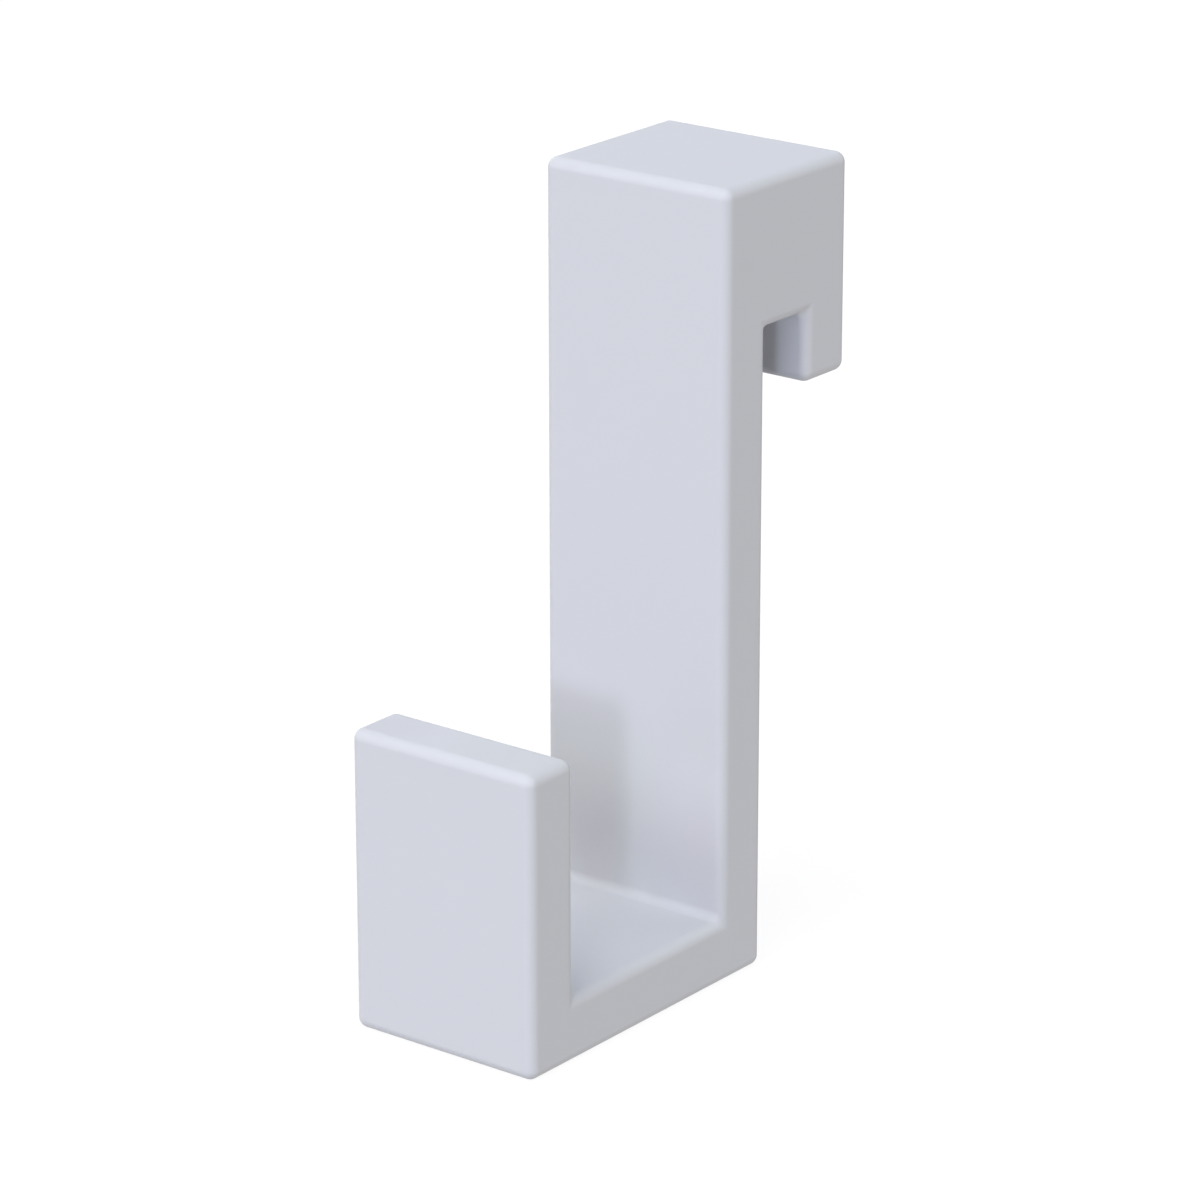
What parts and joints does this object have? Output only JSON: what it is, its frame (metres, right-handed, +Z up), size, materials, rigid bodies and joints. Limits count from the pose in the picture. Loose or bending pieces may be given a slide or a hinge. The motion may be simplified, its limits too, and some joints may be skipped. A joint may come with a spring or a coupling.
{
  "type": "shower screen hook",
  "caption": "Square-edged plastic hook that hangs over the top edge of a glass shower screen, with a flat strap that ends in a shelf and an upturned tab.",
  "frame": {"origin": "middle of the glass slot's ceiling, the face that bears on the top edge of the glass", "axes": "+Z up along the strap; -Y into the room, from the glass towards the upturned tab; +X across the hook, to the right seen from the room"},
  "size_m": [0.022, 0.0499, 0.0809],
  "materials": {
    "moulded_plastic": "satin"
  },
  "bodies": {
    "root": {"screen_hook": "moulded_plastic"}
  },
  "joints": []
}
